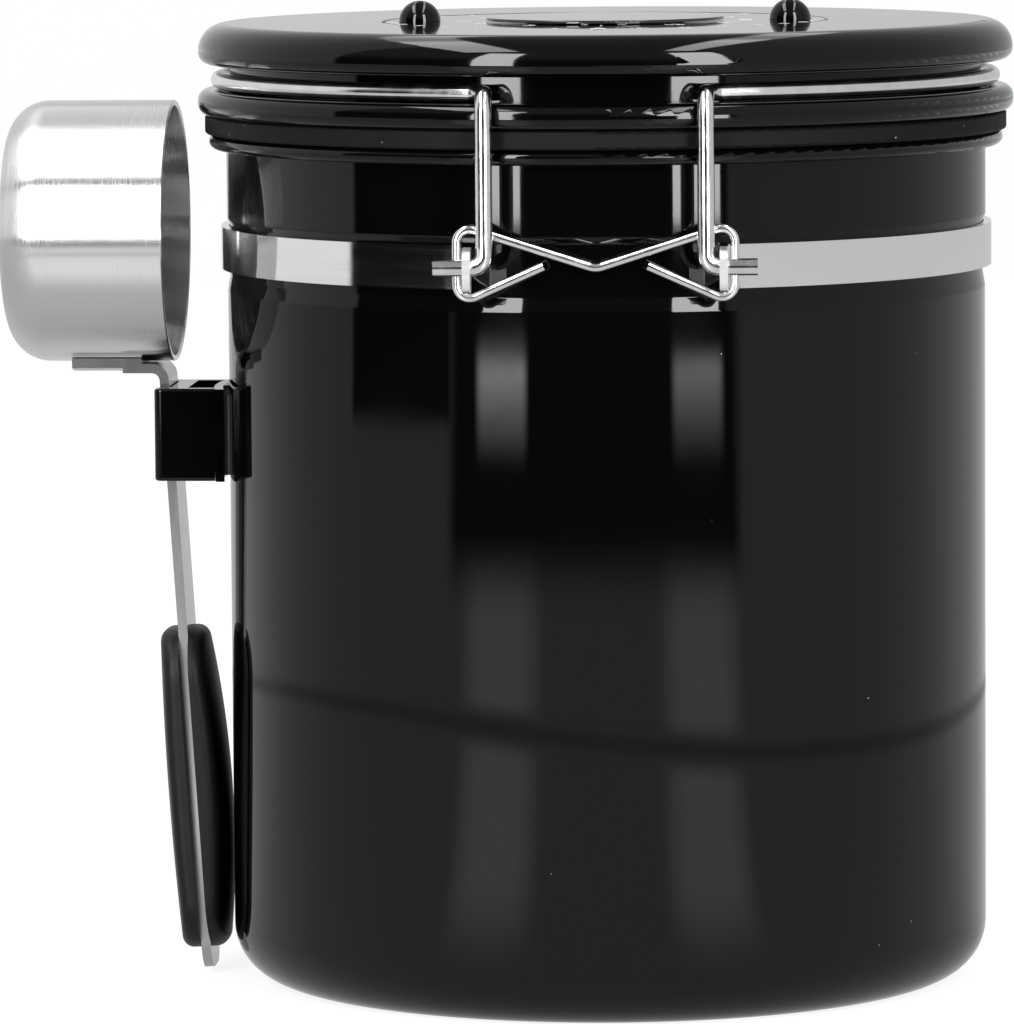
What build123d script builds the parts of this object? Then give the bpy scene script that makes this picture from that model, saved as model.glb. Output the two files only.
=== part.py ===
from build123d import *
import os
from math import asin, atan, cos, degrees, radians, sin, sqrt, tan

# Coffee canister with a degassing valve in its hinged lid, a date dial, and a scoop in a clip.
# Millimetres, +Z up. The origin is the centre of the base. The wire hinge is at -Y, the latch
# at +Y, and the scoop hangs at -X.

# General
overrun = 2.0  # how far a cutting shape runs past what it cuts
wire_diameter = 2.6  # lid ring, hinge legs and hinge pins
pin_clearance = 0.08  # radial, pin in ear and bar in knuckle
face_gap = 0.05  # bonded or riveted curved faces

# Canister shell, from the base up
body_radius = 60.0
wall = 0.8
base_corner = 9.0
shoulder_height = 110.0  # where the wall starts to draw in for the band
groove_depth = 0.35
groove_slope = 2.1
groove_height = 8.3
lip_slope = 0.9
neck_step = 0.1  # neck radius over body radius
neck_height = 11.0
bead_reach = 2.7
bead_height = 2.4
bead_round = 1.2
mouth_round = 0.5
bend_round = 0.6

# Neck band with its two ears
band_clearance = 0.15
band_thickness = 1.2
band_lower_gap = 1.3
band_upper_gap = 0.3
ear_inner = 18.8  # half the distance between the ears
ear_reach = 3.0  # ear beyond the pin axis
hinge_rise = 0.4  # pin axis over the middle of the band
ear_round = 1.6

# Lid, from the gasket up
gasket_height = 2.9
gasket_overhang = 0.6  # beyond the bead
gasket_round = 0.5
gasket_clearance = 0.3
flange_overhang = 1.7  # beyond the bead
flange_height = 4.1
flange_round = 1.8
plug_clearance = 4.8  # radial, inside the mouth
plug_depth = 4.8  # below the underside of the flange
plug_round = 1.0
tray_wall = 2.2
spigot_step = 1.8  # spigot radius over plug radius
spigot_height = 1.8
wire_side_clearance = 0.15
ring_slack = 1.1  # room over the ring, under the cap
cap_step = 0.1  # cap radius under flange radius
cap_height = 6.3
cap_lower_round = 1.8
cap_upper_round = 4.3
cap_wall = 2.2
skirt_gap = 0.4  # inside the wire ring
skirt_clearance = 0.3
vent_width = 4.0
vent_height = 0.6
vent_count = 3

# Wire ring of the lid, with the hinge legs and the catch bar
ring_inset = 3.4  # ring's middle inside the edge of the flange
leg_clearance = 0.05  # bend of a leg to the ear
leg_bend = 2.0
shoulder_bend = 3.0
ring_bend = 3.0
pin_overhang = 4.5  # beyond the ear
bar_reach = 3.0  # catch bar beyond the flange
bar_side_clearance = 1.5  # lever to the bends of the bar
bar_bend = 2.0

# Thin spring wire at the hinge
spring_diameter = 1.44
spring_gap = 0.3  # to the ears
spring_offset = 1.4  # axis outside the neck
spring_tip_spacing = 7.9  # half
spring_tip_rise = 0.0
spring_valley_drop = 0.35
spring_foot_drop = 5.8
spring_head_rise = 6.4
spring_bend = 2.0
spring_valley_bend = 3.0

# Date dial and its middle badge
recess_radius = 35.3
recess_depth = 2.3
recess_edge = 0.3
dial_clearance = 0.3
dial_floor_gap = 0.1
dial_set_down = 0.05
dial_edge = 0.3
hub_radius = 12.0
knob_radius = 3.3
knob_inset = 6.0  # knob's middle inside the recess
badge_overlap = 6.9  # beyond the hub
badge_gap = 0.2
badge_height = 0.45
badge_edge = 0.35
badge_stem_radius = 4.0
badge_stem_clearance = 0.15

# Valve in the middle of the lid
housing_radius = 12.7
housing_clearance = 0.3
housing_flange_reach = 4.3
housing_flange_height = 2.0
housing_wall = 1.5
ledge_width = 1.6
ledge_height = 0.4  # over the underside of the lid
seat_height = 3.6  # over the underside of the lid
seat_thickness = 1.4
housing_rim = 2.0  # over the seat
snap_reach = 0.8
snap_gap = 0.2
snap_height = 1.0
seat_hole_radius = 1.2
seat_hole_circle = 5.5
seat_hole_count = 6
flap_clearance = 1.0
flap_thickness = 1.0
flap_edge = 0.3
flap_lift = 0.8
flap_lift_spare = 0.2
stem_radius = 1.2
stem_clearance = 0.1
bulb_radius = 1.8
bulb_height = 1.4
filter_thickness = 1.0
filter_clearance = 0.3
grille_hole_radius = 1.4
grille_hole_circle = 6.2
grille_hole_count = 8

# Screws that hold the cap to the lid base
screw_count = 4
screw_gap = 6.0  # heads to the flange of the valve housing
screw_radius = 1.5
screw_clearance = 0.12
screw_head_radius = 3.0
screw_head_height = 2.0
screw_head_clearance = 0.3
screw_slot = 0.8
screw_slot_share = 0.7  # reach of the cross slot, of the head's radius
post_radius = 4.6
post_height = 2.8  # over the floor of the lid base
boss_radius = 3.7
boss_spare = 0.6  # hole beyond the tip of the screw
boss_end = 1.1  # solid end over the hole

# Latch lever on the catch bar, and its catch on the band
lever_thickness = 1.2
lever_rail = 1.6  # beside the window
lever_tail = 12.0  # below the window
lever_tab_height = 5.5
lever_tab_reach = 3.4
lever_bend = 3.0
lever_tip_round = 2.5
window_side_clearance = 0.8
window_height = 9.0
window_drop = 0.4  # sill below the lip of the catch
catch_thickness = 1.1
catch_gap = 0.4  # nose to lever at rest
nose_width = 5.2
nose_drop = 1.65  # underside below the hinge axis
nose_lip = 1.0
rivet_radius = 1.0
rivet_clearance = 0.1
rivet_head_radius = 1.6
rivet_head_height = 0.7
rivet_gap = 0.2  # heads to the nose

# Scoop holder on the wall
scoop_turn = -2.1  # degrees about Z, so that the scoop stands a little behind the side
holder_drop = 30.4  # below the start of the groove
holder_height = 14.7
holder_width = 19.0
holder_depth = 9.0
holder_round = 1.2
holder_edge = 0.5
tape_thickness = 0.95
tape_margin = 1.0
plate_thickness = 1.4
plate_margin = 1.0
pocket_wall = 2.2
slot_side_clearance = 0.06
slot_back_clearance = 0.3
snap_window_height = 3.0
snap_window_low = 1.8
snap_window_depth = 0.6
snap_window_thickness = 0.7

# Scoop: cup, strap and two grip scales
cup_radius = 20.75
cup_depth = 27.5
cup_wall = 0.9
cup_corner = 6.5
cup_dome = 1.7  # the end stands out in its middle
cup_flat = 5.0  # radius of the flat middle of the end
cup_dome_bend = 40.0
cup_edge = 0.25
rim_gap = 4.1  # rim plane to the lid flange
strap_width = 12.0
strap_thickness = 1.5
strap_inset = 0.65  # strap inside the mouth of the clip
strap_bend = 2.0
strap_tip_height = 0.8
strap_tip_round = 4.0
tab_rise = 2.95  # tab over the clip
tab_length = 14.6
saddle_gap = 0.1
saddle_overlap = 3.0
grip_width = 19.5
grip_low = 4.1
grip_drop = 24.1  # top of the grip below the clip
grip_corner = 8.0
outer_grip_edge = 1.9
inner_grip_edge = 2.0
outer_grip_end = 3.3  # thickness at its two ends
outer_grip_crown = 0.6  # more in the middle
inner_grip_end = 2.5
inner_grip_crown = 2.0
grip_cross_radius = 34.0  # rounding across the faces of the grip
grip_wall_clearance = 0.7
grip_rivet_radius = 2.0
grip_rivet_clearance = 0.1
grip_rivet_inset = 12.0
grip_rivet_sink = 0.3
grip_rivet_blind = 0.8  # inner scale left over the end of a rivet

# Lid, neck and hinge places that follow
wire_radius = wire_diameter / 2
groove_radius = body_radius - groove_depth
neck_radius = body_radius + neck_step
bead_radius = neck_radius + bead_reach
groove_low = shoulder_height + groove_slope
groove_high = groove_low + groove_height
neck_low = groove_high + lip_slope
bead_low = neck_low + neck_height
mouth_z = bead_low + bead_height
band_inner = groove_radius + band_clearance
band_outer = band_inner + band_thickness
band_low = groove_low + band_lower_gap
band_high = groove_high - band_upper_gap
ear_outer = ear_inner + band_thickness
gasket_radius = bead_radius + gasket_overhang
flange_radius = bead_radius + flange_overhang
hinge_z = (band_low + band_high) / 2 + hinge_rise
hinge_y = -flange_radius
leg_spacing = ear_inner - leg_bend - leg_clearance
ring_radius = flange_radius - ring_inset
plug_radius = neck_radius - wall - plug_clearance
spigot_radius = plug_radius + spigot_step
cap_radius = flange_radius - cap_step
skirt_radius = ring_radius - wire_radius - skirt_gap
flange_low = mouth_z + gasket_height
flange_high = flange_low + flange_height
ring_z = flange_high + wire_side_clearance + wire_radius
cap_low = ring_z + wire_radius + wire_side_clearance + ring_slack
cap_high = cap_low + cap_height
plug_low = flange_low - plug_depth
tray_floor = plug_low + tray_wall
skirt_inner = spigot_radius + skirt_clearance

# Dial and badge places that follow
recess_floor = cap_high - recess_depth
recess_ceiling = recess_floor - cap_wall + dial_clearance
dial_high = cap_high - dial_set_down
hub_high = dial_high + badge_gap
badge_radius = hub_radius + badge_overlap
knob_circle = recess_radius - knob_inset

# Valve places that follow
housing_low = plug_low - housing_flange_height
housing_flange_radius = housing_radius + housing_flange_reach
housing_bore = housing_radius - housing_wall
housing_throat = housing_bore - ledge_width
flap_radius = housing_throat - flap_clearance
ledge_z = plug_low + ledge_height
seat_low = plug_low + seat_height
seat_high = seat_low + seat_thickness
grille_high = ledge_z - filter_thickness

# Screw places that follow
post_high = tray_floor + post_height
head_seat = plug_low + screw_head_height + screw_head_clearance
screw_circle = housing_flange_radius + screw_gap + screw_head_radius
pilot_high = recess_ceiling - boss_end
screw_length = pilot_high - boss_spare - head_seat

# Latch places that follow
bar_y = flange_radius + bar_reach
lever_face = bar_y - lever_thickness / 2
nose_tip = lever_face - catch_gap
nose_low = hinge_z - nose_drop
lip_low = nose_low - nose_lip
catch_inner = band_outer + face_gap
catch_outer = catch_inner + catch_thickness
rivet_offset = nose_width / 2 + rivet_gap + rivet_head_radius
catch_width = 2 * (rivet_offset + rivet_head_radius)
window_width = nose_width + 2 * window_side_clearance
window_low = lip_low - window_drop
lever_width = window_width + 2 * lever_rail
bar_spacing = lever_width / 2 + bar_side_clearance + bar_bend

# Holder and scoop places that follow
holder_low = shoulder_height - holder_drop
holder_high = holder_low + holder_height
tape_inner = body_radius + face_gap
plate_inner = tape_inner + tape_thickness
plate_outer = plate_inner + plate_thickness
clip_mouth = plate_outer + holder_depth
strap_top_x = clip_mouth - strap_inset - strap_thickness / 2
grip_high = holder_low - grip_drop
grip_middle = (grip_low + grip_high) / 2
grip_half = (grip_high - grip_low) / 2
low_crown = inner_grip_crown * (1 - ((grip_middle - base_corner) / grip_half) ** 2)
strap_low_x = body_radius + grip_wall_clearance + inner_grip_end + low_crown + strap_thickness / 2
strap_lean = degrees(atan((strap_top_x - strap_low_x) / (holder_high - base_corner)))
tab_z = holder_high + tab_rise
cup_z = tab_z + strap_thickness / 2 + saddle_gap + cup_radius
cup_rim_x = flange_radius + rim_gap

BOTTOM = (Align.CENTER, Align.CENTER, Align.MIN)


def spun(*corners):
    """Solid turned round Z from points of radius, height and corner rounding."""
    points = [(r, z) for r, z, _ in corners]
    rounds = [corner for _, _, corner in corners]
    outline = FilletPolyline(*points, radius=rounds, close=True)
    return revolve(make_face(Plane.XZ * outline), axis=Axis.Z)


def disc(radius, low, high):
    """Upright cylinder on the Z axis between two heights."""
    return Pos(0, 0, low) * Cylinder(radius, high - low, align=BOTTOM)


def tube(outer, inner, low, high):
    """Upright ring on the Z axis between two heights."""
    return disc(outer, low, high) - disc(inner, low - overrun, high + overrun)


def block(x_low, x_high, y_low, y_high, z_low, z_high):
    """Box between two corners."""
    middle = Pos((x_low + x_high) / 2, (y_low + y_high) / 2, (z_low + z_high) / 2)
    return middle * Box(x_high - x_low, y_high - y_low, z_high - z_low)


def round_about(count, radius, first=0):
    """Places on a circle round Z, turned with it."""
    return [Rot(0, 0, first + 360 / count * i) * Pos(radius, 0, 0) for i in range(count)]


def along_x(radius, low, high):
    """Cylinder on the X axis between two places."""
    return Pos(low, 0, 0) * Rot(0, 90, 0) * Cylinder(radius, high - low, align=BOTTOM)


def both_sides(make):
    """The shape that make gives for the right side and the left side, together."""
    return make(1) + make(-1)


def canister_shell():
    inner = -wall
    return spun(
        (0, 0, 0),
        (body_radius, 0, base_corner),
        (body_radius, shoulder_height, bend_round),
        (groove_radius, groove_low, bend_round),
        (groove_radius, groove_high, bend_round),
        (neck_radius, neck_low, bend_round),
        (neck_radius, bead_low, 0),
        (bead_radius, bead_low, bead_round),
        (bead_radius, mouth_z, bead_round),
        (neck_radius + inner, mouth_z, mouth_round),
        (neck_radius + inner, neck_low, bend_round),
        (groove_radius + inner, groove_high, bend_round),
        (groove_radius + inner, groove_low, bend_round),
        (body_radius + inner, shoulder_height, bend_round),
        (body_radius + inner, wall, base_corner - wall),
        (0, wall, 0),
    )


def rivet_turns():
    """Turns about Z that carry the +X direction to the two rivets of the catch."""
    swing = degrees(asin(rivet_offset / band_outer))
    return [Rot(0, 0, 90 - swing), Rot(0, 0, 90 + swing)]


def rivet_holes():
    reach = along_x(rivet_radius + rivet_clearance, groove_radius, catch_outer + overrun)
    return [turn * Pos(0, 0, hinge_z) * reach for turn in rivet_turns()]


def neck_band():
    band = tube(band_outer, band_inner, band_low, band_high)
    reach = -hinge_y
    band -= block(-ear_inner, ear_inner, -reach, 0, band_low - overrun, band_high + overrun)
    root = -sqrt(band_inner**2 - ear_inner**2)
    height = band_high - band_low

    def ear(side):
        length = root - (hinge_y - ear_reach)
        sheet = block(ear_inner, ear_outer, root - length, root, band_low, band_high)
        tips = sheet.edges().filter_by(Axis.X).sort_by(Axis.Y)[:2]
        sheet = fillet(tips, min(ear_round, height / 3))
        hole = along_x(wire_radius + pin_clearance, ear_inner - overrun, ear_outer + overrun)
        sheet -= Pos(0, hinge_y, hinge_z) * hole
        return sheet if side > 0 else mirror(sheet, about=Plane.YZ)

    band += both_sides(ear)
    for hole in rivet_holes():
        band -= hole
    return band


def hinge_spring():
    """Springy wire that runs over, outside and under both ears, with a valley in the middle."""
    side = ear_outer + spring_gap + spring_diameter / 2
    y = -(neck_radius + spring_offset)
    foot = hinge_z - spring_foot_drop
    head = hinge_z + spring_head_rise
    tip = hinge_z + spring_tip_rise
    points = [
        (-spring_tip_spacing, y, tip),
        (-side, y, foot),
        (-side, y, head),
        (0, y, hinge_z - spring_valley_drop),
        (side, y, head),
        (side, y, foot),
        (spring_tip_spacing, y, tip),
    ]
    bends = [spring_bend, spring_bend, spring_valley_bend, spring_bend, spring_bend]
    path = FilletPolyline(*points, radius=bends)
    start = Plane(origin=path @ 0, z_dir=path % 0)
    return sweep(start * Circle(spring_diameter / 2), path)


def latch_catch():
    half = catch_width / 2
    plate = tube(catch_outer, catch_inner, band_low, band_high)
    plate &= block(-half, half, 0, catch_outer + overrun, band_low, band_high)
    for hole in rivet_holes():
        plate -= hole
    middle = (catch_inner + catch_outer) / 2
    top = nose_low + catch_thickness
    nose = block(-nose_width / 2, nose_width / 2, middle, nose_tip, nose_low, top)
    nose += block(-nose_width / 2, nose_width / 2, nose_tip - catch_thickness, nose_tip, lip_low, top)
    return plate + nose


def catch_rivets():
    shank = along_x(rivet_radius, band_inner + face_gap, catch_outer)
    head = along_x(rivet_head_radius, catch_outer, catch_outer + rivet_head_height)
    rivet = shank + fillet(head.edges().group_by(Axis.X)[-1], rivet_head_height / 2)
    return Compound(children=[turn * Pos(0, 0, hinge_z) * rivet for turn in rivet_turns()])


def lid_base():
    """Tray that closes the mouth, with the flange, the spigot for the cap and the screw posts."""
    base = spun(
        (housing_radius + housing_clearance, plug_low, 0),
        (plug_radius, plug_low, plug_round),
        (plug_radius, flange_low, 0),
        (flange_radius, flange_low, flange_round),
        (flange_radius, flange_high, flange_round),
        (spigot_radius, flange_high, 0),
        (spigot_radius, flange_high + spigot_height, 0),
        (plug_radius - tray_wall, flange_high + spigot_height, 0),
        (plug_radius - tray_wall, tray_floor, 0),
        (housing_radius + housing_clearance, tray_floor, 0),
    )
    shank_hole = disc(screw_radius + screw_clearance, plug_low - overrun, post_high + overrun)
    head_hole = disc(screw_head_radius + screw_head_clearance, plug_low - overrun, head_seat)
    for place in round_about(screw_count, screw_circle, 180 / screw_count):
        base += place * disc(post_radius, plug_low, post_high)
        base -= place * shank_hole
        base -= place * head_hole
    return base


def lid_gasket():
    inner = plug_radius + gasket_clearance
    return spun(
        (inner, mouth_z, gasket_round),
        (gasket_radius, mouth_z, gasket_round),
        (gasket_radius, flange_low, gasket_round),
        (inner, flange_low, gasket_round),
    )


def lid_cap():
    """Domed cover with the recess and hub of the dial, and the bosses for the screws."""
    ceiling = cap_high - cap_wall
    bore = badge_stem_radius + badge_stem_clearance
    cap = spun(
        (skirt_inner, flange_high, 0),
        (skirt_radius, flange_high, 0),
        (skirt_radius, cap_low, 0),
        (cap_radius, cap_low, cap_lower_round),
        (cap_radius, cap_high, cap_upper_round),
        (recess_radius, cap_high, recess_edge),
        (recess_radius, recess_floor, 0),
        (hub_radius, recess_floor, 0),
        (hub_radius, hub_high, 0),
        (bore, hub_high, 0),
        (bore, recess_ceiling, 0),
        (recess_radius + cap_wall, recess_ceiling, 0),
        (recess_radius + cap_wall, ceiling, 0),
        (skirt_inner, ceiling, 0),
    )
    pilot = disc(screw_radius + screw_clearance, post_high - overrun, pilot_high)
    for place in round_about(screw_count, screw_circle, 180 / screw_count):
        cap += place * disc(boss_radius, post_high, (recess_ceiling + recess_floor) / 2)
        cap -= place * pilot
    half = vent_width / 2
    vent = block(spigot_radius, skirt_radius + overrun, -half, half, flange_high, flange_high + vent_height)
    for turn in round_about(vent_count, 0, 90):
        cap -= turn * vent
    return cap


def bail_wire():
    """Ring round the lid that ends in two hinge legs at -Y and bows out to a catch bar at +Y."""
    pin_end = ear_outer + pin_overhang
    leg_x = leg_spacing
    low_turn = Vector(leg_x + leg_bend, hinge_y, hinge_z)
    high_turn = Vector(leg_x, hinge_y + shoulder_bend, ring_z)
    front_x = leg_x + ring_bend
    back_x = bar_spacing + bar_bend
    front = Vector(front_x, -sqrt((ring_radius + ring_bend) ** 2 - front_x**2), ring_z)
    back = Vector(back_x, sqrt((ring_radius + bar_bend) ** 2 - back_x**2), ring_z)

    def on_ring(centre, bend):
        share = ring_radius / (ring_radius + bend)
        return Vector(centre.X * share, centre.Y * share, ring_z)

    def quarter(start, middle_of_arc, bend, corner, end):
        """Quarter bend from start to end, where corner is where the two runs would meet."""
        away = (corner - middle_of_arc).normalized()
        return ThreePointArc(start, middle_of_arc + away * bend, end)

    def small_arc(centre, start, end, bend):
        middle = ((start + end) * 0.5 - centre).normalized() * bend + centre
        return ThreePointArc(start, middle, end)

    runs = []
    leg_low = Vector(leg_x, hinge_y, hinge_z + leg_bend)
    leg_high = Vector(leg_x, hinge_y, ring_z - shoulder_bend)
    front_start = Vector(leg_x, front.Y, ring_z)
    front_end = on_ring(front, ring_bend)
    back_start = on_ring(back, bar_bend)
    back_end = Vector(bar_spacing, back.Y, ring_z)
    bar_start = Vector(bar_spacing, bar_y - bar_bend, ring_z)
    bar_end = Vector(bar_spacing - bar_bend, bar_y, ring_z)
    runs.append(Line(Vector(pin_end, hinge_y, hinge_z), low_turn))
    centre = Vector(leg_x + leg_bend, hinge_y, hinge_z + leg_bend)
    runs.append(quarter(low_turn, centre, leg_bend, Vector(leg_x, hinge_y, hinge_z), leg_low))
    runs.append(Line(leg_low, leg_high))
    centre = Vector(leg_x, hinge_y + shoulder_bend, ring_z - shoulder_bend)
    runs.append(quarter(leg_high, centre, shoulder_bend, Vector(leg_x, hinge_y, ring_z), high_turn))
    runs.append(Line(high_turn, front_start))
    runs.append(small_arc(front, front_start, front_end, ring_bend))
    runs.append(ThreePointArc(front_end, Vector(ring_radius, 0, ring_z), back_start))
    runs.append(small_arc(back, back_start, back_end, bar_bend))
    runs.append(Line(back_end, bar_start))
    centre = Vector(bar_spacing - bar_bend, bar_y - bar_bend, ring_z)
    runs.append(quarter(bar_start, centre, bar_bend, Vector(bar_spacing, bar_y, ring_z), bar_end))
    runs.append(Line(bar_end, Vector(0, bar_y, ring_z)))
    path = Wire([edge for run in runs for edge in run.edges()])
    start = Plane(origin=Vector(pin_end, hinge_y, hinge_z), z_dir=(-1, 0, 0))
    half = sweep(start * Circle(wire_radius), path)
    return half + mirror(half, about=Plane.YZ)


def date_dial():
    low = recess_floor + dial_floor_gap
    dial = tube(recess_radius - dial_clearance, hub_radius + dial_clearance, low, dial_high)
    dial = chamfer(dial.edges().group_by(Axis.Z)[-1], dial_edge)
    for place in round_about(2, knob_circle):
        dial += place * Pos(0, 0, dial_high) * Sphere(knob_radius, arc_size1=0, align=BOTTOM)
    return dial


def centre_badge():
    """Polished cover of the hub. Its rim holds the dial down."""
    badge = disc(badge_radius, hub_high, hub_high + badge_height)
    badge = fillet(badge.edges().group_by(Axis.Z)[-1], badge_edge)
    return badge + disc(badge_stem_radius, recess_ceiling, hub_high)


def valve_housing():
    """Socket in the middle of the lid: filter pocket below, valve seat above."""
    snap_low = tray_floor + snap_gap
    housing = spun(
        (housing_bore, housing_low, 0),
        (housing_flange_radius, housing_low, 0),
        (housing_flange_radius, plug_low, 0),
        (housing_radius, plug_low, 0),
        (housing_radius, snap_low, 0),
        (housing_radius + snap_reach, snap_low, 0),
        (housing_radius, snap_low + snap_height, 0),
        (housing_radius, seat_high + housing_rim, 0),
        (housing_throat, seat_high + housing_rim, 0),
        (housing_throat, ledge_z, 0),
        (housing_bore, ledge_z, 0),
    )
    housing += disc((housing_throat + housing_radius) / 2, seat_low, seat_high)
    housing -= disc(stem_radius + stem_clearance, seat_low - overrun, seat_high + overrun)
    hole = disc(seat_hole_radius, seat_low - overrun, seat_high + overrun)
    for place in round_about(seat_hole_count, seat_hole_circle):
        housing -= place * hole
    return housing


def valve_flap():
    """Soft umbrella flap. Gas lifts it off the holes, and its bulb stops it under the seat."""
    cover = disc(flap_radius, seat_high, seat_high + flap_thickness)
    cover = fillet(cover.edges().group_by(Axis.Z)[-1], flap_edge)
    bulb_high = seat_low - flap_lift - flap_lift_spare
    stem = disc(stem_radius, bulb_high - bulb_height / 2, seat_high)
    bulb = disc(bulb_radius, bulb_high - bulb_height, bulb_high)
    bulb = fillet(bulb.edges().group_by(Axis.Z)[0], bulb_height / 3)
    return cover + stem + bulb


def valve_filter():
    return disc(housing_bore - filter_clearance, grille_high, ledge_z)


def valve_retainer():
    """Holed cover that holds the filter up in its pocket."""
    cover = disc(housing_bore - filter_clearance, housing_low, grille_high)
    hole = disc(grille_hole_radius, housing_low - overrun, grille_high + overrun)
    cover -= hole
    for place in round_about(grille_hole_count, grille_hole_circle):
        cover -= place * hole
    return cover


def lid_screws():
    head_low = head_seat - screw_head_height
    head = disc(screw_head_radius, head_low, head_seat)
    reach = screw_head_radius * screw_slot_share
    half = screw_slot / 2
    deep = head_low + screw_head_height / 2
    head -= block(-reach, reach, -half, half, head_low - overrun, deep)
    head -= block(-half, half, -reach, reach, head_low - overrun, deep)
    screw = head + disc(screw_radius, head_seat, head_seat + screw_length)
    places = round_about(screw_count, screw_circle, 180 / screw_count)
    return Compound(children=[place * screw for place in places])


def latch_lever():
    """Stamped lever that hangs on the catch bar. Its window drops over the nose of the catch."""
    half = lever_width / 2
    bore = wire_radius + pin_clearance
    knuckle = along_x(bore + lever_thickness, -half, half)
    low = window_low - lever_tail
    points = [
        (0, bar_y, ring_z - bore),
        (0, bar_y, low + lever_tab_height),
        (0, bar_y + lever_tab_reach, low),
    ]
    path = FilletPolyline(*points, radius=[lever_bend])
    start = Plane(origin=points[0], x_dir=(1, 0, 0), z_dir=(0, 0, -1))
    lever = sweep(start * Rectangle(lever_width, lever_thickness), path)
    tips = lever.faces().sort_by(Axis.Z)[0].edges().sort_by(Axis.X)
    lever = fillet([tips[0], tips[-1]], lever_tip_round)
    lever += Pos(0, bar_y, ring_z) * knuckle
    lever -= Pos(0, bar_y, ring_z) * along_x(bore, -half - overrun, half + overrun)
    side = window_width / 2
    high = window_low + window_height
    return lever - block(-side, side, lever_face - overrun, bar_y + overrun, window_low, high)


def turned_to_scoop(shape):
    return Rot(0, 0, scoop_turn) * shape


def wall_patch(inner, outer, width, low, high):
    """Curved piece against the wall at the scoop side."""
    patch = tube(outer, inner, low, high)
    return patch & block(-outer - overrun, 0, -width / 2, width / 2, low, high)


def holder_tape():
    low = holder_low + tape_margin
    high = holder_high - tape_margin
    return turned_to_scoop(wall_patch(tape_inner, plate_inner, holder_width, low, high))


def holder_plate():
    width = holder_width + 2 * plate_margin
    plate = wall_patch(plate_inner, plate_outer, width, holder_low, holder_high)
    edge = width / 2
    middle_r = (plate_inner + plate_outer) / 2
    x = -sqrt(middle_r**2 - edge**2)
    half = snap_window_thickness / 2
    for low in (holder_low + snap_window_low, holder_high - snap_window_low - snap_window_height):
        high = low + snap_window_height
        for side in (-1, 1):
            inside = side * (edge - snap_window_depth)
            outside = side * (edge + overrun)
            y_low = min(inside, outside)
            y_high = max(inside, outside)
            plate -= block(x - half, x + half, y_low, y_high, low, high)
    return turned_to_scoop(plate)


def holder_clip():
    """Box with an upright slot that takes the strap of the scoop from outside."""
    half = holder_width / 2
    clip = block(-clip_mouth, -body_radius, -half, half, holder_low, holder_high)
    clip = fillet(clip.edges().filter_by(Axis.Z).group_by(Axis.X)[0], holder_round)
    clip = fillet(clip.edges().group_by(Axis.X)[0], holder_edge)
    clip -= disc(plate_outer + face_gap, holder_low - overrun, holder_high + overrun)
    lean = tan(radians(strap_lean))
    back = strap_top_x - strap_thickness / 2 - slot_back_clearance
    low = holder_low - overrun
    high = holder_high + overrun
    outline = Polyline(
        (-clip_mouth - overrun, low),
        (-back + lean * (holder_high - low), low),
        (-back + lean * (holder_high - high), high),
        (-clip_mouth - overrun, high),
        close=True,
    )
    slot_half = strap_width / 2 + slot_side_clearance
    clip -= extrude(make_face(Plane.XZ * outline), amount=slot_half, both=True)
    pocket_x = strap_top_x - strap_thickness / 2 - lean * holder_height - pocket_wall
    side = half - pocket_wall
    pocket_low = holder_low + pocket_wall
    clip -= block(-pocket_x, -body_radius, -side, side, pocket_low, high)
    return turned_to_scoop(clip)


def strap_plane():
    """Plane on the strap's middle at the clip's top: x is across, y runs down, z is outward."""
    lean = radians(strap_lean)
    return Plane(
        origin=(-strap_top_x, 0, holder_high),
        x_dir=(0, 1, 0),
        z_dir=(-cos(lean), 0, -sin(lean)),
    )


def down_strap(height):
    """Distance down the strap's middle from the clip's top to a height."""
    return (holder_high - height) / cos(radians(strap_lean))


def grip_rivet_places():
    return [down_strap(grip_high - grip_rivet_inset), down_strap(grip_low + grip_rivet_inset)]


def scoop_cup():
    """Round cup on its side, with its mouth towards the canister."""
    cup = spun(
        (0, 0, 0),
        (cup_flat, 0, cup_dome_bend),
        (cup_radius, cup_dome, cup_corner),
        (cup_radius, cup_depth, cup_edge),
        (cup_radius - cup_wall, cup_depth, cup_edge),
        (cup_radius - cup_wall, cup_dome + cup_wall, cup_corner - cup_wall),
        (cup_flat, cup_wall, cup_dome_bend),
        (0, cup_wall, 0),
    )
    return turned_to_scoop(Pos(-cup_rim_x - cup_depth, 0, cup_z) * Rot(0, 90, 0) * cup)


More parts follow.
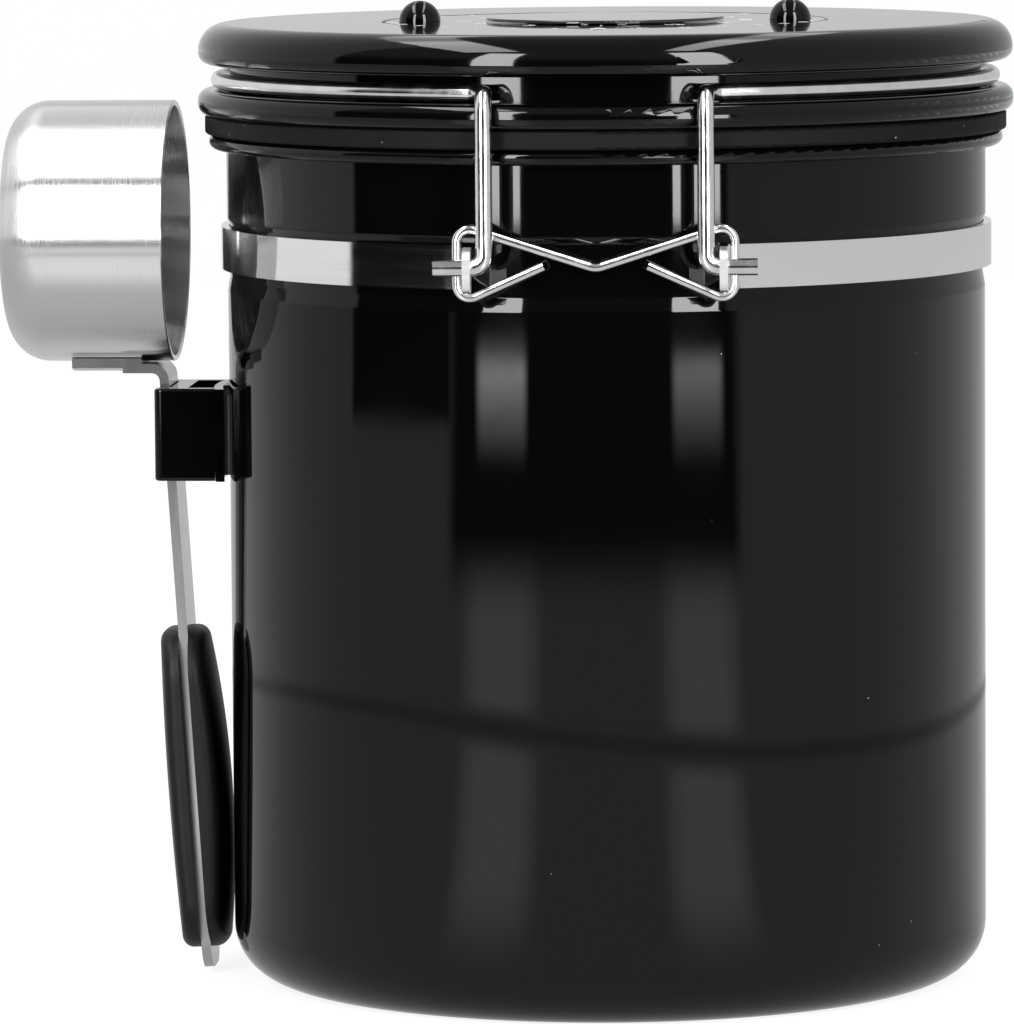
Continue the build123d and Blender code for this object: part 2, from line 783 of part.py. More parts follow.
def scoop_strap():
    """Strap with a curved saddle under the cup, bent down through the clip to the grip."""
    lean = tan(radians(strap_lean))
    corner_x = -strap_top_x - lean * (tab_z - holder_high)
    tip_x = -strap_top_x + lean * (holder_high - strap_tip_height)
    tab_end = corner_x - tab_length
    saddle_end = corner_x - strap_bend - strap_thickness
    flat_start = saddle_end - saddle_overlap
    path = FilletPolyline(
        (flat_start, 0, tab_z), (corner_x, 0, tab_z), (tip_x, 0, strap_tip_height), radius=[strap_bend]
    )
    section = Plane(origin=(flat_start, 0, tab_z), x_dir=(0, 1, 0), z_dir=(1, 0, 0))
    strap = sweep(section * Rectangle(strap_width, strap_thickness), path)
    tips = strap.faces().sort_by(Axis.Z)[0].edges().sort_by(Axis.Y)
    strap = fillet([tips[0], tips[-1]], strap_tip_round)
    saddle_inner = cup_radius + saddle_gap
    saddle = along_x(saddle_inner + strap_thickness, tab_end, saddle_end)
    saddle -= along_x(saddle_inner, tab_end - overrun, saddle_end + overrun)
    half = strap_width / 2
    reach = saddle_inner + strap_thickness
    saddle &= block(tab_end - overrun, saddle_end + overrun, -half, half, -reach, 0)
    strap += Pos(0, 0, cup_z) * saddle
    hole = Cylinder(grip_rivet_radius + grip_rivet_clearance, strap_thickness + overrun)
    for place in grip_rivet_places():
        strap -= strap_plane() * Pos(0, place, 0) * hole
    return turned_to_scoop(strap)


def grip_depth(end, crown, place):
    """Thickness of a scale, on its middle line, at a distance down the strap."""
    half = (down_strap(grip_low) - down_strap(grip_high)) / 2
    return end + crown * (1 - ((place - down_strap(grip_middle)) / half) ** 2)


def grip_scale(end, crown, edge_round, side):
    """A grip scale crowned along and across: side 1 is the outer one and -1 the one by the wall."""
    length = down_strap(grip_low) - down_strap(grip_high)
    thickness = end + crown
    scale = extrude(RectangleRounded(grip_width, length, grip_corner), amount=thickness)
    along_radius = ((length / 2) ** 2 + crown**2) / (2 * crown)
    half = grip_width / 2 + overrun
    drop = grip_cross_radius - sqrt(grip_cross_radius**2 - half**2)
    across = ThreePointArc((-half, thickness - drop), (0, thickness), (half, thickness - drop))
    axis_z = thickness - along_radius
    sides = Polyline((half, thickness - drop), (half, axis_z), (-half, axis_z), (-half, thickness - drop))
    barrel = revolve(make_face(Plane.XZ * (across + sides)), axis=Axis((0, 0, axis_z), (1, 0, 0)))
    scale &= barrel
    rim = [edge for edge in scale.edges() if edge.center().Z > end / 2]
    rim = [edge for edge in rim if edge.bounding_box().size.Z < thickness / 2]
    scale = fillet(rim, edge_round)
    upright = strap_plane() * Pos(0, down_strap(grip_middle), side * strap_thickness / 2)
    return upright * (scale if side > 0 else Rot(0, 180, 0) * scale)


def grip_outer():
    scale = grip_scale(outer_grip_end, outer_grip_crown, outer_grip_edge, 1)
    hole = Cylinder(grip_rivet_radius + grip_rivet_clearance, 2 * grip_width)
    for place in grip_rivet_places():
        scale -= strap_plane() * Pos(0, place, 0) * hole
    return turned_to_scoop(scale)


def grip_inner():
    """Scale by the wall, with blind holes for the rivets."""
    scale = grip_scale(inner_grip_end, inner_grip_crown, inner_grip_edge, -1)
    radius = grip_rivet_radius + grip_rivet_clearance
    for place in grip_rivet_places():
        depth = inside_rivet_end(place)
        hole = Pos(0, place, -depth) * Cylinder(radius, 2 * depth, align=BOTTOM)
        scale -= strap_plane() * hole
    return turned_to_scoop(scale)


def inside_rivet_end(place):
    """Depth of a rivet's inner end under the strap's middle plane."""
    return strap_thickness / 2 + grip_depth(inner_grip_end, inner_grip_crown, place) - grip_rivet_blind


def grip_rivets():
    """Two rivets, sunk in the outer scale and blind in the inner one."""
    rivets = []
    for place in grip_rivet_places():
        inside = inside_rivet_end(place) - face_gap
        outside = strap_thickness / 2 + grip_depth(outer_grip_end, outer_grip_crown, place) - grip_rivet_sink
        rivet = Pos(0, place, -inside) * Cylinder(grip_rivet_radius, inside + outside, align=BOTTOM)
        rivets.append(turned_to_scoop(strap_plane() * rivet))
    return Compound(children=rivets)


NODES = [
    canister_shell,
    neck_band,
    hinge_spring,
    latch_catch,
    catch_rivets,
    holder_tape,
    holder_plate,
    holder_clip,
    lid_base,
    lid_gasket,
    lid_cap,
    bail_wire,
    date_dial,
    centre_badge,
    valve_housing,
    valve_flap,
    valve_filter,
    valve_retainer,
    lid_screws,
    latch_lever,
    scoop_cup,
    scoop_strap,
    grip_outer,
    grip_inner,
    grip_rivets,
]

os.makedirs("parts", exist_ok=True)
for make_node in NODES:
    export_step(make_node(), f"parts/{make_node.__name__}.step")
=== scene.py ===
import math

import bpy
from mathutils import Matrix, Vector


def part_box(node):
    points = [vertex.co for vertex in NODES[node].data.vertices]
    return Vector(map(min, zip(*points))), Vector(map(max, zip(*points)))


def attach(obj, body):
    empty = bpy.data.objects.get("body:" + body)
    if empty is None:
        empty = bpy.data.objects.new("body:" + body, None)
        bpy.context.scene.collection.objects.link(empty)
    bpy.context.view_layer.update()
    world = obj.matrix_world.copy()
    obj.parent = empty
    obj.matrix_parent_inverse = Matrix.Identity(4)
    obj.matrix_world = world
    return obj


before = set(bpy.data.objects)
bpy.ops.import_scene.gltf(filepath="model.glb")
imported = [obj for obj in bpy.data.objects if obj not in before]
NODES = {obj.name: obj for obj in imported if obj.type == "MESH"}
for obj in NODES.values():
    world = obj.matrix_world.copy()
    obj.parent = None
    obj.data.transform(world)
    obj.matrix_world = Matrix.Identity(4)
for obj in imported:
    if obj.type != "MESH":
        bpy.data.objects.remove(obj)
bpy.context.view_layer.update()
MM = 0.001
DEG = math.pi / 180

# Heights read from the frame
lid_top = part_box("lid_cap")[1].z
badge_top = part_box("centre_badge")[1].z

# Camera, as the photo was taken
PHOTO_WIDTH = 1014
SENSOR_WIDTH = 36.0
FOCAL_PIXELS = 8056
NEAREST = 0.05  # clipping distances
FARTHEST = 50.0
CAMERA_DISTANCE = 1276 * MM
CAMERA_HEIGHT = 199.5 * MM
CAMERA_AZIMUTH = 1.5 * DEG
CAMERA_ROLL = 0.42 * DEG
AIM_LEFT = 16.05 * MM  # aim point left of the axis
AIM_HEIGHT = 73.88 * MM


def place_camera():
    data = bpy.data.cameras.new("camera")
    camera = bpy.data.objects.new("camera", data)
    bpy.context.scene.collection.objects.link(camera)
    data.sensor_fit = "HORIZONTAL"
    data.sensor_width = SENSOR_WIDTH
    data.lens = FOCAL_PIXELS * SENSOR_WIDTH / PHOTO_WIDTH
    data.clip_start = NEAREST
    data.clip_end = FARTHEST
    across = Vector((math.cos(CAMERA_AZIMUTH), math.sin(CAMERA_AZIMUTH), 0))
    eye = Vector((math.sin(CAMERA_AZIMUTH), -math.cos(CAMERA_AZIMUTH), 0)) * CAMERA_DISTANCE
    eye.z = CAMERA_HEIGHT
    aim = -across * AIM_LEFT
    aim.z = AIM_HEIGHT
    forward = (aim - eye).normalized()
    right = forward.cross(Vector((0, 0, 1))).normalized()
    up = right.cross(forward)
    turn = Matrix((right, up, -forward)).transposed()
    turn = turn @ Matrix.Rotation(CAMERA_ROLL, 3, "Z").transposed()
    camera.matrix_world = Matrix.Translation(eye) @ turn.to_4x4()
    bpy.context.scene.camera = camera


class Nodes:
    """Small helper that adds shader nodes to one tree and links them."""

    def __init__(self, tree):
        self.tree = tree
        tree.nodes.clear()

    def add(self, kind, inputs=None, **settings):
        node = self.tree.nodes.new(kind)
        for name, value in settings.items():
            setattr(node, name, value)
        for name, value in (inputs or {}).items():
            self.set(node.inputs[name], value)
        return node

    def set(self, socket, value):
        if isinstance(value, bpy.types.NodeSocket):
            self.tree.links.new(value, socket)
        else:
            socket.default_value = value

    def math(self, operation, *values, clamp=False):
        node = self.add("ShaderNodeMath", operation=operation, use_clamp=clamp)
        for socket, value in zip(node.inputs, values):
            self.set(socket, value)
        return node.outputs[0]

    def ramp(self, value, low, high, start=0.0, end=1.0):
        """Value taken from the range low to high into start to end, smoothly."""
        node = self.add("ShaderNodeMapRange", interpolation_type="SMOOTHSTEP")
        for name, number in zip(
            ("Value", "From Min", "From Max", "To Min", "To Max"), (value, low, high, start, end)
        ):
            self.set(node.inputs[name], number)
        return node.outputs[0]

    def mix(self, share, first, second):
        node = self.add("ShaderNodeMix", data_type="RGBA")
        self.set(node.inputs["Factor"], share)
        self.set(node.inputs["A"], first)
        self.set(node.inputs["B"], second)
        return node.outputs["Result"]

    def place(self):
        """Position in the object's own space, in metres."""
        return self.add("ShaderNodeTexCoord").outputs["Object"]

    def along(self, axis, vector):
        """One of a vector's three parts, X, Y or Z."""
        return self.add("ShaderNodeSeparateXYZ", {0: vector}).outputs[axis]

    def of_vectors(self, operation, output, *vectors):
        inputs = dict(enumerate(vectors))
        node = self.add("ShaderNodeVectorMath", inputs, operation=operation)
        return node.outputs[output]

    def scaled(self, vector, x, y, z):
        node = self.add("ShaderNodeMapping", {"Vector": vector, "Scale": (x, y, z)})
        return node.outputs[0]

    def noise(self, vector, scale, detail=2.0, roughness=0.5):
        node = self.add(
            "ShaderNodeTexNoise",
            {"Vector": vector, "Scale": scale, "Detail": detail, "Roughness": roughness},
        )
        return node.outputs["Fac"]

    def specks(self, vector, spacing, size):
        """1 on small scattered dots, 0 elsewhere. Spacing and size are in metres."""
        inputs = {"Vector": vector, "Scale": 1 / spacing, "Randomness": 1.0}
        cells = self.add("ShaderNodeTexVoronoi", inputs)
        return self.ramp(cells.outputs["Distance"], size / spacing, 0.5 * size / spacing)

    def bump(self, height, strength, distance):
        inputs = {"Height": height, "Strength": strength, "Distance": distance}
        return self.add("ShaderNodeBump", inputs).outputs[0]


def grey(value):
    return (value, value, value, 1)


def new_material(name, **shader):
    """A material with a principled shader, the helper for its nodes, and the shader itself."""
    material = bpy.data.materials.new(name)
    material.use_nodes = True
    nodes = Nodes(material.node_tree)
    output = nodes.add("ShaderNodeOutputMaterial")
    principled = nodes.add("ShaderNodeBsdfPrincipled")
    for key, value in shader.items():
        principled.inputs[key.replace("_", " ")].default_value = value
    nodes.tree.links.new(principled.outputs[0], output.inputs[0])
    return material, nodes, principled


def gloss_black(name, tint, waviness, haze, haze_low=None, clear_from=None):
    """Gloss black coat or moulding: faint waviness, a little haze and a few specks of dust.

    Below the height clear_from the haze is haze_low.
    """
    material, nodes, shader = new_material(name, IOR=1.35)
    place = nodes.place()
    dust = nodes.specks(place, 7 * MM, 0.12 * MM)
    fine = nodes.noise(place, 90, 3)
    nodes.set(shader.inputs["Base Color"], nodes.mix(dust, tint, grey(0.3)))
    rough = nodes.ramp(fine, 0.35, 0.75, haze, haze * 1.5)
    if clear_from is not None:
        height = nodes.along("Z", place)
        lower = nodes.ramp(height, clear_from, clear_from - 2 * MM, 0.0, haze_low - haze)
        rough = nodes.math("ADD", rough, lower)
    dusty = nodes.math("MULTIPLY", dust, 0.4)
    nodes.set(shader.inputs["Roughness"], nodes.math("ADD", rough, dusty))
    wave = nodes.noise(place, 55, 2)
    nodes.set(shader.inputs["Normal"], nodes.bump(wave, waviness, 0.4 * MM))
    return material


def polished_steel(name, tint, haze, lines, worn_from=None):
    """Polished steel with very fine lines round the canister and small wear spots.

    In front of the place worn_from, at the hinge, its bent ends are duller.
    """
    material, nodes, shader = new_material(name, Metallic=1.0)
    place = nodes.place()
    streaks = nodes.noise(nodes.scaled(place, 40, 40, 2500), 1.0, 2)
    spots = nodes.specks(place, 4.5 * MM, 0.16 * MM)
    nodes.set(shader.inputs["Base Color"], nodes.mix(spots, tint, grey(0.25)))
    rough = nodes.ramp(streaks, 0.3, 0.7, haze, haze * 1.6)
    if worn_from is not None:
        worn = nodes.ramp(nodes.along("Y", place), worn_from, worn_from - MM, 0.0, 0.28)
        rough = nodes.math("ADD", rough, worn)
    nodes.set(shader.inputs["Roughness"], rough)
    nodes.set(shader.inputs["Normal"], nodes.bump(streaks, lines, 0.02 * MM))
    return material


def drawn_wire():
    """Polished round wire with uneven wear."""
    material, nodes, shader = new_material("drawn_wire", Metallic=1.0)
    place = nodes.place()
    wear = nodes.noise(place, 420, 4)
    nodes.set(shader.inputs["Base Color"], nodes.mix(wear, grey(0.66), grey(0.88)))
    nodes.set(shader.inputs["Roughness"], nodes.ramp(wear, 0.3, 0.8, 0.13, 0.24))
    nodes.set(shader.inputs["Normal"], nodes.bump(nodes.noise(place, 900, 3), 0.12, 0.05 * MM))
    return material


def brushed_steel(name, scale, tint, haze, stretch=0.0):
    """Brushed steel. The three scales give the brush lines' fineness along each axis.

    With stretch, the lines run round the X axis and draw the reflections out along it.
    """
    material, nodes, shader = new_material(name, Metallic=1.0, Anisotropic=stretch)
    place = nodes.place()
    lines = nodes.noise(nodes.scaled(place, *scale), 1.0, 6, 0.65)
    cloud = nodes.noise(place, 60, 2)
    nodes.set(shader.inputs["Base Color"], nodes.mix(lines, grey(tint * 0.96), grey(tint * 1.03)))
    rough = nodes.ramp(lines, 0.25, 0.75, haze, haze + 0.03)
    rough = nodes.math("ADD", rough, nodes.math("MULTIPLY", cloud, 0.06))
    nodes.set(shader.inputs["Roughness"], rough)
    nodes.set(shader.inputs["Normal"], nodes.bump(lines, 0.08, 0.02 * MM))
    if stretch:
        shader.inputs["Anisotropic Rotation"].default_value = 0.25
        round_x = nodes.add("ShaderNodeTangent", direction_type="RADIAL", axis="X")
        nodes.set(shader.inputs["Tangent"], round_x.outputs[0])
    return material


def matte_rubber(name, tint, roughness):
    """Matte rubber with a thin film on it and a few specks of dust."""
    material, nodes, shader = new_material(name, IOR=1.2)
    place = nodes.place()
    dust = nodes.specks(place, 2.6 * MM, 0.13 * MM)
    film = nodes.noise(place, 320, 4)
    clean = nodes.mix(film, grey(tint), grey(tint * 1.8))
    nodes.set(shader.inputs["Base Color"], nodes.mix(dust, clean, grey(0.4)))
    nodes.set(shader.inputs["Roughness"], nodes.ramp(film, 0.2, 0.8, roughness, roughness + 0.12))
    nodes.set(shader.inputs["Normal"], nodes.bump(nodes.noise(place, 1400, 3), 0.15, 0.06 * MM))
    return material


def satin_plastic(name, tint, roughness, grain, index=1.47):
    """Moulded plastic with a fine erosion grain."""
    material, nodes, shader = new_material(name, IOR=index)
    place = nodes.place()
    texture = nodes.noise(place, 1600, 3)
    cloud = nodes.noise(place, 70, 2)
    nodes.set(shader.inputs["Base Color"], nodes.mix(cloud, grey(tint * 0.85), grey(tint * 1.2)))
    rough = nodes.ramp(cloud, 0.25, 0.75, roughness, roughness + 0.08)
    nodes.set(shader.inputs["Roughness"], rough)
    nodes.set(shader.inputs["Normal"], nodes.bump(texture, grain, 0.05 * MM))
    return material


def porous_disc():
    """Pressed fibre of the valve's filter."""
    material, nodes, shader = new_material("porous_disc", Roughness=0.95)
    place = nodes.place()
    fibre = nodes.noise(place, 1900, 5)
    shade = nodes.mix(fibre, (0.62, 0.6, 0.55, 1), (0.88, 0.87, 0.83, 1))
    nodes.set(shader.inputs["Base Color"], shade)
    nodes.set(shader.inputs["Normal"], nodes.bump(fibre, 0.6, 0.15 * MM))
    return material


def give(material, *names):
    """Assigns a material to the named nodes."""
    for name in names:
        for place in NODES[name].material_slots:
            place.material = material


def dress_nodes():
    black = (0.001, 0.001, 0.0011, 1)
    band_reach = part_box("neck_band")[1].x
    band_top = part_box("neck_band")[1].z
    give(gloss_black("coat_black", black, 0.015, 0.03, 0.028, band_top), "canister_shell")
    give(gloss_black("lid_black", black, 0.03, 0.04), "lid_base", "lid_cap", "date_dial")
    give(gloss_black("clip_black", black, 0.05, 0.05), "holder_clip", "holder_plate")
    give(gloss_black("badge_black", (0.02, 0.02, 0.022, 1), 0.0, 0.03), "centre_badge")
    give(polished_steel("band_steel", grey(0.86), 0.05, 0.05, -band_reach), "neck_band")
    give(polished_steel("catch_steel", grey(0.78), 0.05, 0.05), "latch_catch", "catch_rivets")
    give(polished_steel("lever_steel", grey(0.78), 0.07, 0.05), "latch_lever")
    give(drawn_wire(), "bail_wire", "hinge_spring")
    give(matte_rubber("seal_rubber", 0.003, 0.6), "lid_gasket")
    give(matte_rubber("bonding_tape", 0.03, 0.7), "holder_tape")
    give(satin_plastic("grip_black", 0.004, 0.4, 0.2, 1.3), "grip_outer", "grip_inner")
    give(satin_plastic("valve_grey", 0.05, 0.4, 0.15), "valve_housing", "valve_retainer")
    give(satin_plastic("valve_silicone", 0.5, 0.5, 0.1), "valve_flap")
    give(porous_disc(), "valve_filter")
    give(brushed_steel("cup_steel", (2600, 60, 60), 0.66, 0.22, 1.0), "scoop_cup")
    give(brushed_steel("strap_steel", (900, 2600, 60), 0.45, 0.16), "scoop_strap")
    give(brushed_steel("screw_steel", (700, 700, 700), 0.6, 0.26), "lid_screws", "grip_rivets")


# Stage and light. Turns are about Z from the front, towards the right
FLOOR_RADIUS = 1.6
FLOOR_WHITE = 0.85
FLOOR_GLOW = 1.2  # to the camera, so that the pale floor is as white as the world
GLOW_SHARE = 0.72
# Painted tones that the floor glows with to glossy rays
TABLE_FRONT = 0.66  # tones of the table in reflections
TABLE_SIDE = 0.6
TABLE_BEHIND = 0.1  # added
PLATE_CENTRE = (-0.036, 0.0, 0.0)
PLATE_RADIUS = 0.41
PLATE_SEAM = 0.024
SEAM_TONE = 0.6
TABLE_EDGES = (  # dark past an edge: its turn, half widths, and where it starts and ends
    (-2.5 * DEG, 40 * DEG, 45 * DEG, 0.62, 0.82),
    (-62.5 * DEG, 16 * DEG, 18 * DEG, 1.08, 1.16),
)
DARK_FRONT = (-21 * DEG, 58 * DEG, 60 * DEG)  # its turn, and where its edge starts and ends
SOFTBOXES = (  # turn, width, top and the strength of its mirror image
    (-29.5 * DEG, 0.31, 1.4, 1.0),
    (28 * DEG, 0.37, 1.4, 0.65),
)
SOFTBOX_RADIANCE = 19.0
SOFTBOX_DISTANCE = 1.5
SOFTBOX_LOW = 0.033
# Painted gleam and painted mirror image of each softbox on the table, in the floor's glow
SOFTBOX_GLEAM = (2 * DEG, 13.5 * DEG)  # half width of its gleam on the table, full and faded
IMAGE_WIDTH = (5.5 * DEG, 8.5 * DEG)  # the same of its mirror image
GLEAM_START = (0.1, 0.22)
GLEAM_END = (0.6, 0.8)
GLEAM_TONE = 0.95
MIRROR_IMAGE = (0.98, 1.3, 1.43)  # of a softbox in the table: faint end, peak and foot
IMAGE_FADING = 1.4  # power
IMAGE_TONE = 7.6
OVERHEAD_LAMPS = (  # side, inner edge and its lean, outer edge and its lean, at unit height
    (-1, 0.32, 0.117, 0.58, 0.234),
    (1, 0.24, 0.087, 0.38, 0.108),
)
OVERHEAD_FRONT = 0.77
OVERHEAD_RADIANCE = (10.0, 2.5)  # in front of the zenith and behind it
WALL_LEFT = 0.8
WALL_RIGHT = 0.58
WALL_TOP = (0.5, 0.56)
CEILING_DARK = 0.004
CEILING_LIGHT = 0.3
AMBIENT = 0.5


def sector(nodes, direction, turn, inner, outer):
    """1 where a level direction is within the inner angle of a turn, 0 past the outer one."""
    centre = (math.sin(turn), -math.cos(turn), 0)
    near = nodes.of_vectors("DOT_PRODUCT", "Value", direction, centre)
    return nodes.ramp(near, math.cos(outer), math.cos(inner))


def level(nodes, vector):
    """Level direction of a vector, of unit length."""
    flat = nodes.of_vectors("MULTIPLY", "Vector", vector, (1, 1, 0))
    return nodes.of_vectors("NORMALIZE", "Vector", flat)


def switch(nodes, share, first, second):
    """The second of two shaders where share is 1, the first where it is 0."""
    node = nodes.add("ShaderNodeMixShader", {0: share})
    nodes.tree.links.new(first, node.inputs[1])
    nodes.tree.links.new(second, node.inputs[2])
    return node.outputs[0]


def softbox_image(nodes, reach):
    """Painted mirror image of a softbox in the table, bright at its foot and fading towards the
    part.
    """
    faint, peak, foot = MIRROR_IMAGE
    nearer = nodes.math("SUBTRACT", reach, faint)
    fading = nodes.math("DIVIDE", nearer, peak - faint, clamp=True)
    fading = nodes.math("POWER", fading, IMAGE_FADING)
    return nodes.math("MULTIPLY", fading, nodes.ramp(reach, peak, foot, IMAGE_TONE, 0.0))


def mirrored_table(nodes, position):
    """Painted tone that the table glows with in reflections: a round plate on it, a painted gleam
    and painted mirror images of the softboxes and, in front, its edges against the dark."""
    reach = nodes.of_vectors("LENGTH", "Value", position)
    toward = level(nodes, position)
    facing = nodes.along("Y", toward)
    tone = nodes.ramp(facing, -0.75, -0.1, TABLE_FRONT, TABLE_SIDE)
    tone = nodes.math("ADD", tone, nodes.ramp(facing, 0.2, 0.6, 0.0, TABLE_BEHIND))
    for turn, inner, outer, start, end in TABLE_EDGES:
        past = nodes.ramp(reach, start, end)
        dark = nodes.math("MULTIPLY", past, sector(nodes, toward, turn, inner, outer))
        tone = nodes.math("MULTIPLY", tone, nodes.math("SUBTRACT", 1.0, dark))
    on_plate = nodes.of_vectors("DISTANCE", "Value", position, PLATE_CENTRE)
    off_seam = nodes.math("ABSOLUTE", nodes.math("SUBTRACT", on_plate, PLATE_RADIUS))
    tone = nodes.math("MULTIPLY", tone, nodes.ramp(off_seam, 0, PLATE_SEAM, SEAM_TONE, 1.0))
    gleam = nodes.ramp(reach, *GLEAM_START)
    gleam = nodes.math("MULTIPLY", gleam, nodes.ramp(reach, *GLEAM_END, GLEAM_TONE, 0.0))
    gleam = nodes.math("MULTIPLY", gleam, nodes.ramp(off_seam, PLATE_SEAM / 2, 2 * PLATE_SEAM))
    image = softbox_image(nodes, reach)
    for turn, _, _, strength in SOFTBOXES:
        near = nodes.math("MULTIPLY", gleam, sector(nodes, toward, turn, *SOFTBOX_GLEAM))
        far = nodes.math("MULTIPLY", image, sector(nodes, toward, turn, *IMAGE_WIDTH))
        tone = nodes.math("ADD", tone, nodes.math("MULTIPLY_ADD", far, strength, near))
    return tone


def floor_material():
    """Pale floor, as a photographer's table in reflections: to glossy rays it glows with a
    painted tone, painted gleams and painted mirror images of the softboxes.
    """
    material = bpy.data.materials.new("pale_floor")
    material.use_nodes = True
    nodes = Nodes(material.node_tree)
    output = nodes.add("ShaderNodeOutputMaterial")
    rays = nodes.add("ShaderNodeLightPath")
    tone = mirrored_table(nodes, nodes.add("ShaderNodeNewGeometry").outputs["Position"])
    pale = nodes.add("ShaderNodeBsdfDiffuse", {"Color": grey(FLOOR_WHITE)})
    glow = nodes.add("ShaderNodeEmission", {"Color": grey(1.0), "Strength": FLOOR_GLOW})
    # Painted reflection: the floor glows with the table tone, gleams and softbox images, to
    # glossy rays only
    mirrored = nodes.add("ShaderNodeEmission", {"Color": grey(1.0), "Strength": tone})
    seen = switch(nodes, GLOW_SHARE, pale.outputs[0], glow.outputs[0])
    shown = switch(nodes, rays.outputs["Is Camera Ray"], pale.outputs[0], seen)
    shown = switch(nodes, rays.outputs["Is Glossy Ray"], shown, mirrored.outputs[0])
    nodes.tree.links.new(shown, output.inputs[0])
    return material


def add_floor():
    bpy.ops.mesh.primitive_circle_add(vertices=96, radius=FLOOR_RADIUS, fill_type="NGON")
    floor = bpy.context.object
    floor.name = "floor"
    floor.data.materials.append(floor_material())


def past_edge(nodes, reach, deep, height, place, lean):
    """1 where a direction is sideways past an edge that leans in towards the back."""
    edge = nodes.math("MULTIPLY_ADD", deep, -lean, nodes.math("MULTIPLY", height, place))
    return nodes.ramp(nodes.math("SUBTRACT", reach, edge), 0, 0.02)


def mirrored_room(nodes, direction):
    """Tone of the room in reflections: white cards at the sides and behind, a dark front and
    ceiling, and two long lamps overhead."""
    across, deep, height = (nodes.along(axis, direction) for axis in "XYZ")
    wall = nodes.ramp(height, *WALL_TOP, 1.0, 0.0)
    lamps = 0.0
    for side, inner, inner_lean, outer, outer_lean in OVERHEAD_LAMPS:
        reach = nodes.math("MULTIPLY", across, side)
        past_inner = past_edge(nodes, reach, deep, height, inner, inner_lean)
        past_outer = past_edge(nodes, reach, deep, height, outer, outer_lean)
        wall = nodes.math("MAXIMUM", wall, past_outer)
        lamp = nodes.math("SUBTRACT", past_inner, past_outer, clamp=True)
        lamps = nodes.math("ADD", lamps, lamp)
    front_end = nodes.math("MULTIPLY_ADD", height, OVERHEAD_FRONT, deep)
    lamps = nodes.math("MULTIPLY", lamps, nodes.ramp(front_end, 0, 0.03))
    lamps = nodes.math("MULTIPLY", lamps, nodes.ramp(height, 0.5, 0.54))
    lamps = nodes.math("MULTIPLY", lamps, nodes.ramp(deep, 0.15, 0.45, *OVERHEAD_RADIANCE))
    front = sector(nodes, level(nodes, direction), *DARK_FRONT)
    wall = nodes.math("MULTIPLY", wall, nodes.math("SUBTRACT", 1.0, front))
    wall = nodes.math("MULTIPLY", wall, nodes.ramp(across, -0.3, 0.3, WALL_LEFT, WALL_RIGHT))
    ceiling = nodes.ramp(height, 0.15, 0.5, CEILING_DARK, CEILING_LIGHT)
    return nodes.math("ADD", nodes.math("MAXIMUM", wall, ceiling), lamps)


def dress_world():
    """White to the camera, and a photographer's room to reflections."""
    world = bpy.data.worlds.new("room")
    bpy.context.scene.world = world
    world.use_nodes = True
    nodes = Nodes(world.node_tree)
    output = nodes.add("ShaderNodeOutputWorld")
    rays = nodes.add("ShaderNodeLightPath")
    room = mirrored_room(nodes, nodes.add("ShaderNodeTexCoord").outputs["Generated"])
    mirrored = nodes.add("ShaderNodeBackground", {"Color": grey(1.0), "Strength": room})
    ambient = nodes.add("ShaderNodeBackground", {"Color": grey(1.0), "Strength": AMBIENT})
    white = nodes.add("ShaderNodeBackground", {"Color": grey(1.0), "Strength": 1.0})
    shown = switch(nodes, rays.outputs["Is Glossy Ray"], ambient.outputs[0], mirrored.outputs[0])
    shown = switch(nodes, rays.outputs["Is Camera Ray"], shown, white.outputs[0])
    nodes.tree.links.new(shown, output.inputs[0])


def area_lamp(name, place, aim, width, height, radiance):
    data = bpy.data.lights.new(name, "AREA")
    data.shape = "RECTANGLE"
    data.size = width
    data.size_y = height
    data.energy = radiance * math.pi * width * height
    lamp = bpy.data.objects.new(name, data)
    lamp.location = place
    lamp.rotation_euler = (place - aim).to_track_quat("Z", "Y").to_euler()
    bpy.context.scene.collection.objects.link(lamp)


def add_lamps():
    for index, (turn, width, top, _) in enumerate(SOFTBOXES):
        aim = Vector((0, 0, (SOFTBOX_LOW + top) / 2))
        place = Vector((math.sin(turn), -math.cos(turn), 0)) * SOFTBOX_DISTANCE + aim
        area_lamp(f"softbox_{index}", place, aim, width, top - SOFTBOX_LOW, SOFTBOX_RADIANCE)


# Printed marks of the date dial
BADGE_RISE = 0.65 * MM  # badge's top over the dial's top
DAY_COUNT = 31
DAY_RADIUS = 33.6 * MM
DAY_HEIGHT = 1.9 * MM
MONTH_COUNT = 12
MONTH_RADIUS = 22.4 * MM
MONTH_HEIGHT = 3.2 * MM
PRINT_LIFT = 0.03 * MM
PRINT_SINK = 0.05 * MM
POINTER_LENGTH = 3.2 * MM
POINTER_WIDTH = 2.4 * MM
POINTER_GAP = 1.0 * MM  # from the rim of the recess


def print_ink():
    """Pale printed ink with a slightly uneven cover."""
    material, nodes, shader = new_material("print_ink", IOR=1.45)
    cover = nodes.noise(nodes.place(), 1500, 3)
    nodes.set(shader.inputs["Base Color"], nodes.mix(cover, grey(0.5), grey(0.68)))
    nodes.set(shader.inputs["Roughness"], nodes.ramp(cover, 0.3, 0.7, 0.4, 0.55))
    return material


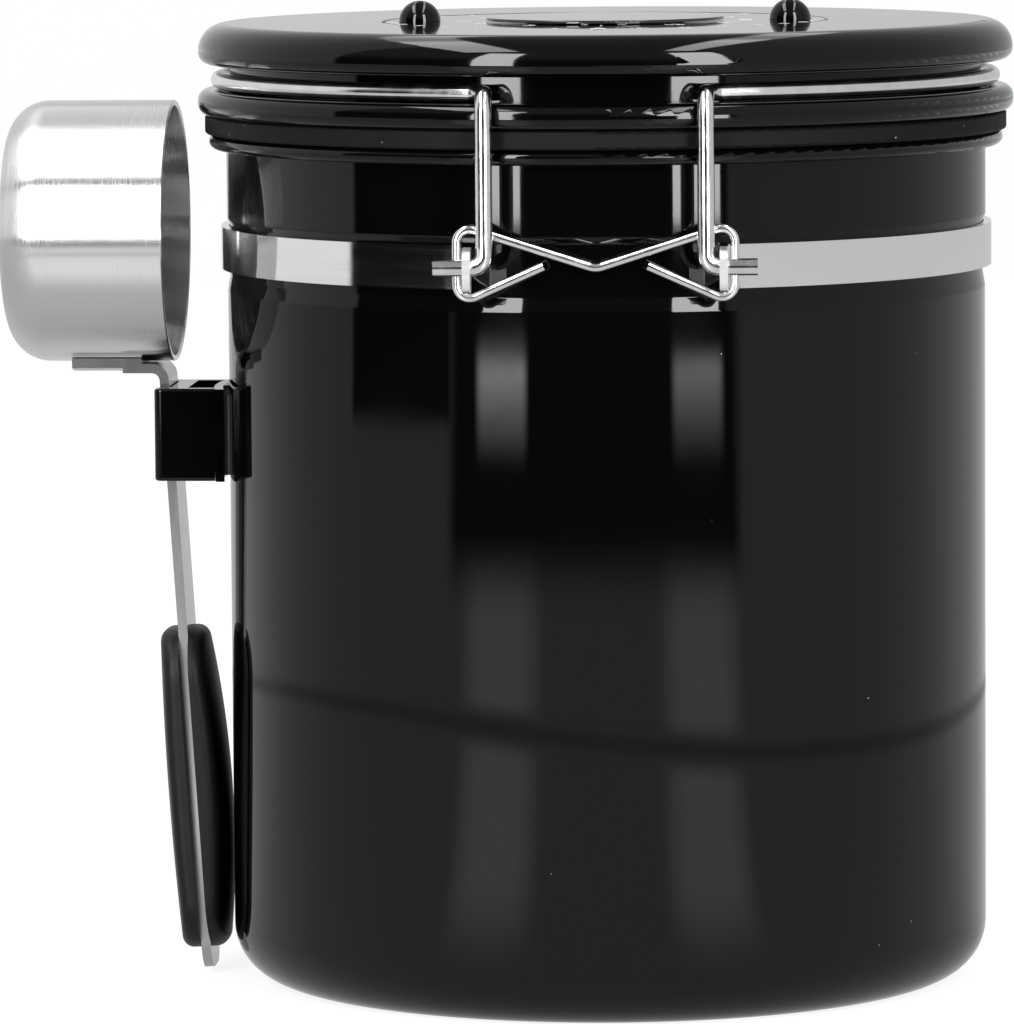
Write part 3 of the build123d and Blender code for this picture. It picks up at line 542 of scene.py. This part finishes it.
def add_piece(name, vertices, faces, material, body):
    """Links a new mesh that rides a body."""
    mesh = bpy.data.meshes.new(name)
    mesh.from_pydata(vertices, [], faces)
    mesh.materials.append(material)
    piece = bpy.data.objects.new(name, mesh)
    bpy.context.scene.collection.objects.link(piece)
    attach(piece, body)


def printed_numbers(name, count, radius, height, top, material):
    """Plain numbers from 1 to count round the dial, with their feet outward, as one mesh."""
    vertices = []
    faces = []
    for number in range(1, count + 1):
        curve = bpy.data.curves.new(f"number_{number}", "FONT")
        curve.body = str(number)
        curve.size = height
        curve.align_x = "CENTER"
        curve.align_y = "CENTER"
        curve.resolution_u = 3
        curve.extrude = (PRINT_LIFT + PRINT_SINK) / 2
        holder = bpy.data.objects.new(f"number_{number}", curve)
        mesh = bpy.data.meshes.new_from_object(holder)
        turn = Matrix.Rotation(-2 * math.pi * (number - 1) / count, 4, "Z")
        turn = turn @ Matrix.Translation((0, -radius, top + (PRINT_LIFT - PRINT_SINK) / 2))
        first = len(vertices)
        vertices += [turn @ vertex.co for vertex in mesh.vertices]
        faces += [[first + corner for corner in face.vertices] for face in mesh.polygons]
        bpy.data.objects.remove(holder)
    add_piece(name, vertices, faces, material, "dial")


def add_pointer(material):
    """Printed triangle on the cap that points at the set day."""
    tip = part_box("date_dial")[0].y - POINTER_GAP
    foot = tip - POINTER_LENGTH
    outline = [(0, tip), (-POINTER_WIDTH / 2, foot), (POINTER_WIDTH / 2, foot)]
    low = lid_top - PRINT_SINK
    high = lid_top + PRINT_LIFT
    vertices = [(x, y, low) for x, y in outline] + [(x, y, high) for x, y in outline]
    faces = [(2, 1, 0), (3, 4, 5), (0, 1, 4, 3), (1, 2, 5, 4), (2, 0, 3, 5)]
    add_piece("day_pointer", vertices, faces, material, "lid")


def print_dial():
    ink = print_ink()
    top = badge_top - BADGE_RISE
    printed_numbers("day_numbers", DAY_COUNT, DAY_RADIUS, DAY_HEIGHT, top, ink)
    printed_numbers("month_numbers", MONTH_COUNT, MONTH_RADIUS, MONTH_HEIGHT, top, ink)
    add_pointer(ink)


place_camera()
add_floor()
dress_world()
add_lamps()
dress_nodes()
print_dial()

bpy.context.scene.view_settings.view_transform = "Standard"
